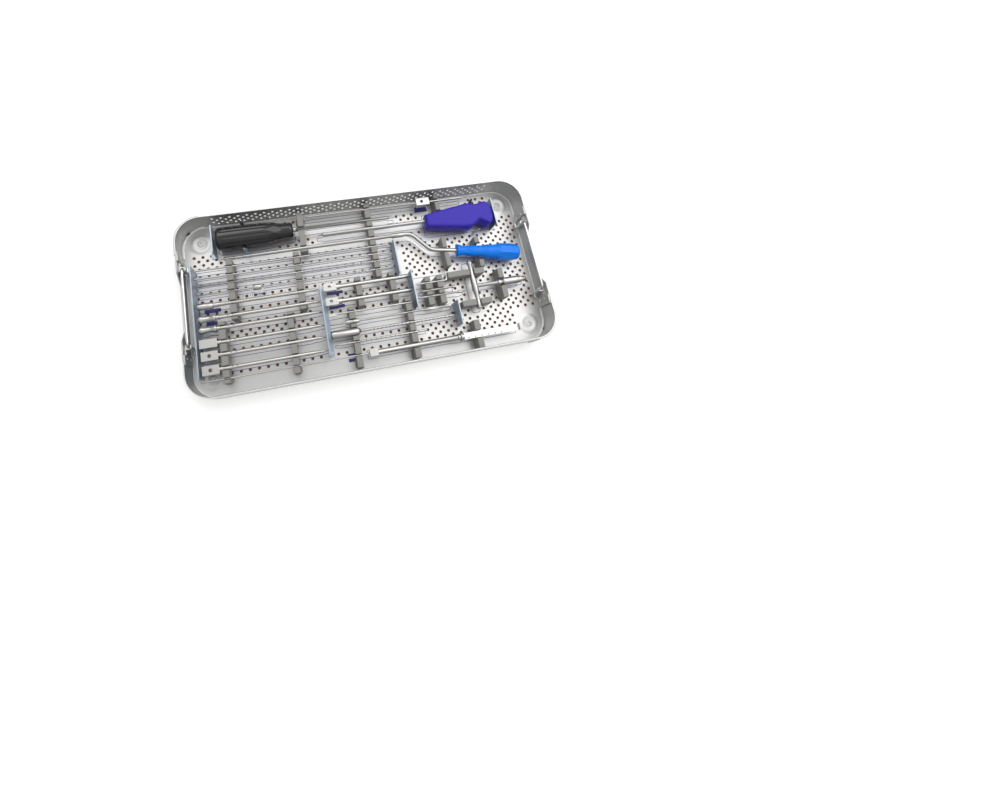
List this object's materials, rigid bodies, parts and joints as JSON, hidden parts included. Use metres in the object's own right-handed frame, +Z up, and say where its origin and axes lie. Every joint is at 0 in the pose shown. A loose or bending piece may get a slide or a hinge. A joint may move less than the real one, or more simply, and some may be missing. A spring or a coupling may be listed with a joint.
{
  "type": "instrument tray",
  "caption": "Shallow perforated sheet-metal sterilising tray with two sliding drop handles, comb brackets, stop plates and surgical hand instruments that lift out.",
  "frame": {"origin": "centre of the footprint, on the plane that the feet stand on", "axes": "+X along the tray's length, +Y across it to the back, +Z up"},
  "size_m": [0.48, 0.233, 0.0385],
  "materials": {
    "floor_sheet": "brushed, perforated",
    "wall_sheet": "satin anodised",
    "polished_wire": "polished",
    "foot_rubber": "matte",
    "coated_bracket": "nylon coated",
    "blue_grey_sheet": "satin",
    "black_plastic": "satin, fluted",
    "violet_plastic": "soft satin",
    "blue_plastic": "soft satin",
    "instrument_steel": "brushed"
  },
  "bodies": {
    "tray": {"floor_pan": "floor_sheet", "wall_front": "wall_sheet", "wall_back": "wall_sheet", "end_wall_left": "wall_sheet", "end_wall_right": "wall_sheet", "shell_rivets": "polished_wire", "handle_brackets": "polished_wire", "feet": "foot_rubber", "foot_rivets": "polished_wire", "comb_rear_left": "coated_bracket", "comb_front_left": "coated_bracket", "comb_rear_middle": "coated_bracket", "comb_back_middle": "coated_bracket", "comb_front_middle": "coated_bracket", "comb_long_back": "coated_bracket", "combs_short": "coated_bracket", "comb_front_centre": "coated_bracket", "comb_front_right": "coated_bracket", "key_combs": "coated_bracket", "bar_saddles": "coated_bracket", "rest_posts": "coated_bracket", "stop_plate_left": "blue_grey_sheet", "stop_plate_middle": "blue_grey_sheet", "stop_plates_short": "blue_grey_sheet", "handle_stop_plates": "blue_grey_sheet", "handle_clips": "blue_grey_sheet"},
    "left_handle": {"handle_left": "polished_wire"},
    "right_handle": {"handle_right": "polished_wire"},
    "black_driver": {"black_grip": "black_plastic", "black_shaft": "instrument_steel"},
    "violet_driver": {"violet_grip": "violet_plastic", "violet_shaft": "instrument_steel"},
    "curved_tool": {"blue_grip": "blue_plastic", "blue_shaft": "instrument_steel", "blue_cap": "instrument_steel"},
    "t_wrench": {"t_bar": "instrument_steel", "chuck_stem": "instrument_steel"},
    "quick_sleeve": {"chuck_sleeve": "instrument_steel"},
    "back_rod": {"hook_rod": "instrument_steel"},
    "pin_rear": {"guide_pin_rear": "instrument_steel"},
    "pin_front": {"guide_pin_front": "instrument_steel"},
    "drill": {"drill_bit": "instrument_steel"},
    "step_tool": {"step_drill": "instrument_steel"},
    "driver_shaft_1": {"driver_1": "instrument_steel"},
    "driver_shaft_2": {"driver_2": "instrument_steel"},
    "driver_shaft_3": {"driver_3": "instrument_steel"},
    "driver_shaft_4": {"driver_4": "instrument_steel"},
    "driver_shaft_5": {"driver_5": "instrument_steel"},
    "driver_shaft_6": {"driver_6": "instrument_steel"},
    "cutter_tool_1": {"cutter_1": "instrument_steel"},
    "cutter_tool_2": {"cutter_2": "instrument_steel"},
    "hook_tool": {"hook_blade": "instrument_steel"},
    "tap_tool": {"tap": "instrument_steel"},
    "reamer_tool": {"reamer": "instrument_steel"},
    "measuring_rod": {"marked_rod": "instrument_steel"},
    "depth_gauge": {"gauge_body": "instrument_steel"},
    "gauge_rod": {"gauge_probe": "instrument_steel"},
    "angled_key": {"key_angled": "instrument_steel"},
    "plain_key": {"key_plain": "instrument_steel"},
    "hooked_key": {"key_hooked": "instrument_steel"}
  },
  "joints": [
    {"name": "left_handle_slide", "type": "slide", "parent": "tray", "child": "left_handle", "axis": [0, 0, 1], "range_m": [0, 0.016]},
    {"name": "right_handle_slide", "type": "slide", "parent": "tray", "child": "right_handle", "axis": [0, 0, 1], "range_m": [0, 0.016]},
    {"name": "black_driver_lift", "type": "slide", "parent": "tray", "child": "black_driver", "axis": [0, 0, 1], "range_m": [0, 0.07]},
    {"name": "violet_driver_lift", "type": "slide", "parent": "tray", "child": "violet_driver", "axis": [0, 0, 1], "range_m": [0, 0.07]},
    {"name": "curved_tool_lift", "type": "slide", "parent": "tray", "child": "curved_tool", "axis": [0, 0, 1], "range_m": [0, 0.07]},
    {"name": "t_wrench_lift", "type": "slide", "parent": "tray", "child": "t_wrench", "axis": [0, 0, 1], "range_m": [0, 0.07]},
    {"name": "back_rod_lift", "type": "slide", "parent": "tray", "child": "back_rod", "axis": [0, 0, 1], "range_m": [0, 0.07]},
    {"name": "pin_rear_lift", "type": "slide", "parent": "tray", "child": "pin_rear", "axis": [0, 0, 1], "range_m": [0, 0.07]},
    {"name": "pin_front_lift", "type": "slide", "parent": "tray", "child": "pin_front", "axis": [0, 0, 1], "range_m": [0, 0.07]},
    {"name": "drill_lift", "type": "slide", "parent": "tray", "child": "drill", "axis": [0, 0, 1], "range_m": [0, 0.07]},
    {"name": "step_tool_lift", "type": "slide", "parent": "tray", "child": "step_tool", "axis": [0, 0, 1], "range_m": [0, 0.07]},
    {"name": "driver_shaft_1_lift", "type": "slide", "parent": "tray", "child": "driver_shaft_1", "axis": [0, 0, 1], "range_m": [0, 0.07]},
    {"name": "driver_shaft_2_lift", "type": "slide", "parent": "tray", "child": "driver_shaft_2", "axis": [0, 0, 1], "range_m": [0, 0.07]},
    {"name": "driver_shaft_3_lift", "type": "slide", "parent": "tray", "child": "driver_shaft_3", "axis": [0, 0, 1], "range_m": [0, 0.07]},
    {"name": "driver_shaft_4_lift", "type": "slide", "parent": "tray", "child": "driver_shaft_4", "axis": [0, 0, 1], "range_m": [0, 0.07]},
    {"name": "driver_shaft_5_lift", "type": "slide", "parent": "tray", "child": "driver_shaft_5", "axis": [0, 0, 1], "range_m": [0, 0.07]},
    {"name": "driver_shaft_6_lift", "type": "slide", "parent": "tray", "child": "driver_shaft_6", "axis": [0, 0, 1], "range_m": [0, 0.07]},
    {"name": "cutter_tool_1_lift", "type": "slide", "parent": "tray", "child": "cutter_tool_1", "axis": [0, 0, 1], "range_m": [0, 0.07]},
    {"name": "cutter_tool_2_lift", "type": "slide", "parent": "tray", "child": "cutter_tool_2", "axis": [0, 0, 1], "range_m": [0, 0.07]},
    {"name": "hook_tool_lift", "type": "slide", "parent": "tray", "child": "hook_tool", "axis": [0, 0, 1], "range_m": [0, 0.07]},
    {"name": "tap_tool_lift", "type": "slide", "parent": "tray", "child": "tap_tool", "axis": [0, 0, 1], "range_m": [0, 0.07]},
    {"name": "reamer_tool_lift", "type": "slide", "parent": "tray", "child": "reamer_tool", "axis": [0, 0, 1], "range_m": [0, 0.07]},
    {"name": "measuring_rod_lift", "type": "slide", "parent": "tray", "child": "measuring_rod", "axis": [0, 0, 1], "range_m": [0, 0.07]},
    {"name": "depth_gauge_lift", "type": "slide", "parent": "tray", "child": "depth_gauge", "axis": [0, 0, 1], "range_m": [0, 0.07]},
    {"name": "angled_key_lift", "type": "slide", "parent": "tray", "child": "angled_key", "axis": [0, 0, 1], "range_m": [0, 0.07]},
    {"name": "plain_key_lift", "type": "slide", "parent": "tray", "child": "plain_key", "axis": [0, 0, 1], "range_m": [0, 0.07]},
    {"name": "hooked_key_lift", "type": "slide", "parent": "tray", "child": "hooked_key", "axis": [0, 0, 1], "range_m": [0, 0.07]},
    {"name": "quick_sleeve_slide", "type": "slide", "parent": "t_wrench", "child": "quick_sleeve", "axis": [1, 0, 0], "range_m": [-0.003, 0], "stiffness_N_per_m": 200},
    {"name": "gauge_rod_slide", "type": "slide", "parent": "depth_gauge", "child": "gauge_rod", "axis": [1, 0, 0], "range_m": [0, 0.06]}
  ]
}
